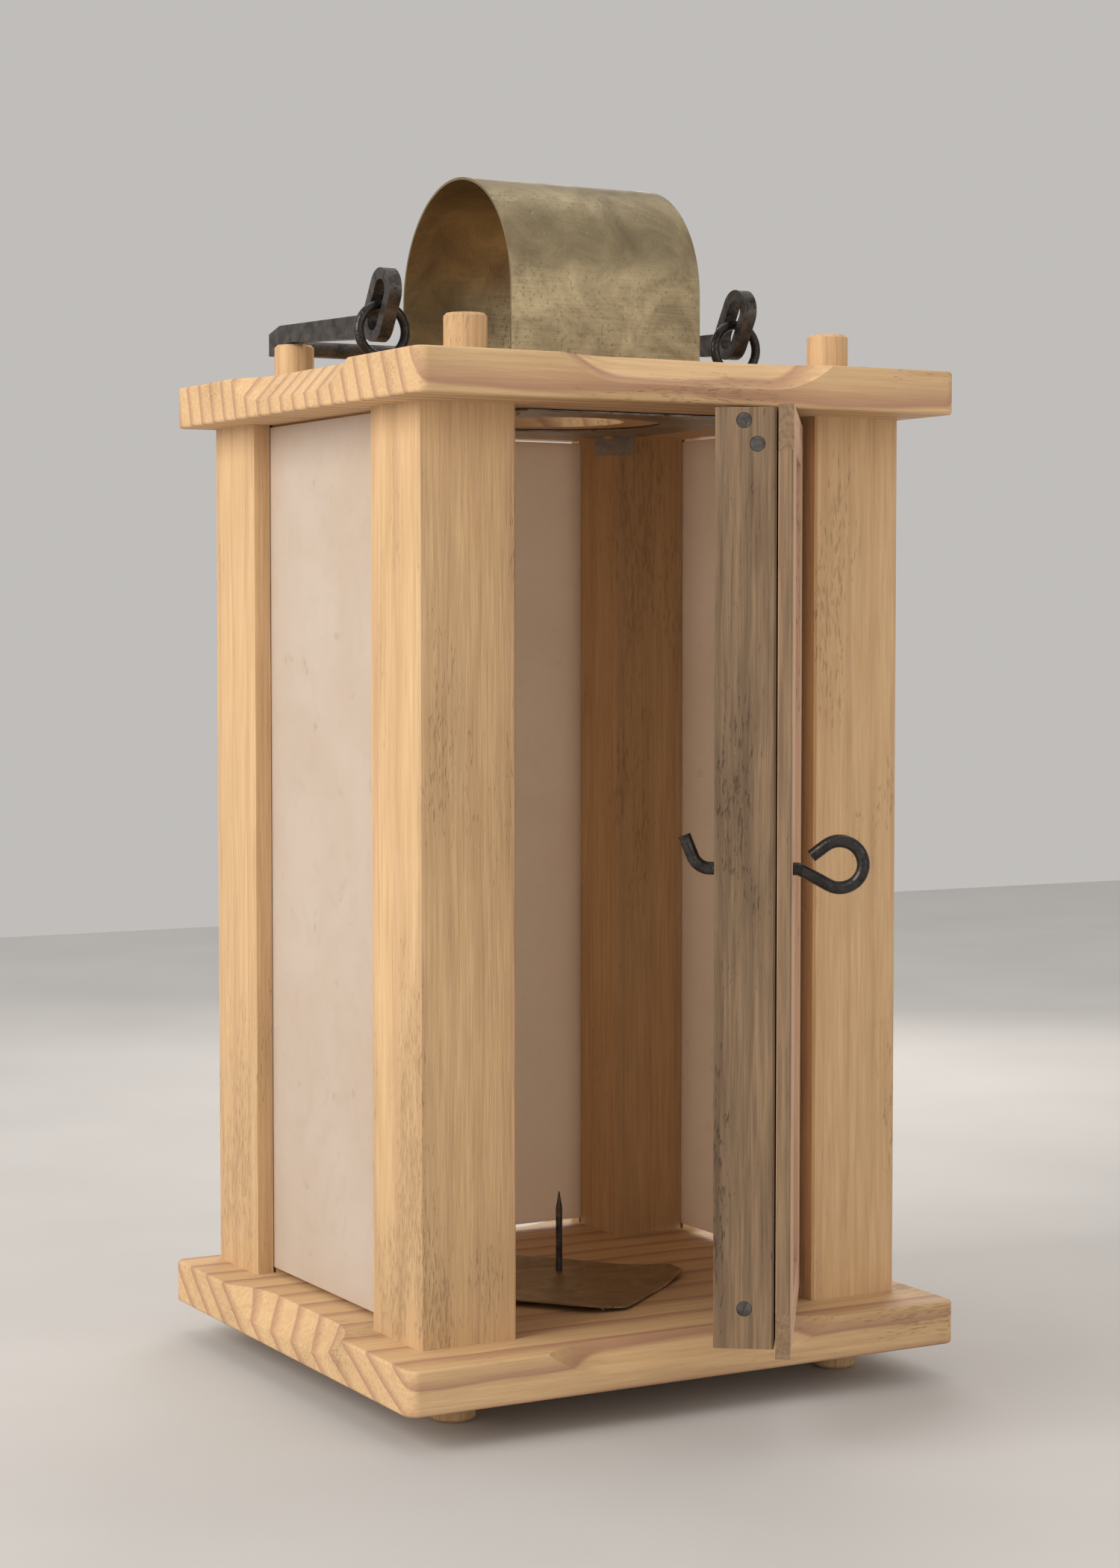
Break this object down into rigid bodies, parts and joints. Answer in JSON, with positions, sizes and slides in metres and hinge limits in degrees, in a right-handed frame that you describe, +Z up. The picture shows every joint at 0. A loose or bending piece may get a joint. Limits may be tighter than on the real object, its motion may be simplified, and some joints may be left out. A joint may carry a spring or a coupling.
{
  "type": "candle lantern",
  "caption": "Rustic wooden candle lantern with two boards joined by square posts, parchment panes, an open hinged door with a wire latch, a brass heat hood and an iron carrying bail",
  "frame": {"origin": "on the ground plane, level with the undersides of the foot pegs, under the middle of the overall box with the door half open as pictured", "axes": "+X to the lantern's right as seen from the door side, +Y to the back, +Z up"},
  "size_m": [0.178, 0.2242, 0.349],
  "materials": {
    "pine": "planed, rough dowel ends",
    "pine_weathered": "weathered, fibrous",
    "pine_pale": "bare, pale",
    "parchment": "translucent oiled sheet",
    "brass": "dull, tarnished",
    "tin": "dull tinplate",
    "tack_brass": "dull",
    "black_iron": "blackened forged iron, worn",
    "nail_steel": "dull"
  },
  "bodies": {
    "frame": {"base_board": "pine", "top_board": "pine", "post_front_left": "pine", "post_front_right": "pine", "post_rear_left": "pine", "post_rear_right": "pine", "top_dowels": "pine", "foot_dowels": "pine", "pane_left": "parchment", "pane_right": "parchment", "pane_rear": "parchment", "heat_hood": "brass", "candle_tray": "brass", "heat_shield": "tin", "hood_tacks": "tack_brass", "tray_tacks": "tack_brass", "shield_tacks": "tack_brass", "bail_eye_left": "black_iron", "bail_eye_right": "black_iron", "candle_spike": "nail_steel", "hinge_pin_top": "nail_steel", "hinge_pin_bottom": "nail_steel"},
    "door": {"door_stile_latch": "pine_weathered", "door_stile_hinge": "pine_weathered", "door_rail_top": "pine_weathered", "door_rail_bottom": "pine_weathered", "door_face_stile_latch": "pine_pale", "door_face_stile_hinge": "pine_pale", "door_face_rail_top": "pine_pale", "door_face_rail_bottom": "pine_pale", "door_pane": "parchment", "door_nails": "nail_steel"},
    "latch": {"latch_wire": "black_iron"},
    "bail": {"bail": "black_iron"}
  },
  "joints": [
    {"name": "door_hinge", "type": "hinge", "parent": "frame", "child": "door", "pos_m": [0.042, -0.03, 0.1527], "axis": [0, 0, 1], "range_deg": [-55, 70]},
    {"name": "latch_turn", "type": "hinge", "parent": "door", "child": "latch", "pos_m": [-0.00446, -0.09635, 0.1557], "axis": [0.8192, -0.5736, 0], "range_deg": [-90, 90]},
    {"name": "bail_hinge", "type": "hinge", "parent": "frame", "child": "bail", "pos_m": [-0.0005, 0.0217, 0.3108], "axis": [1, 0, 0], "range_deg": [0, 185]}
  ]
}
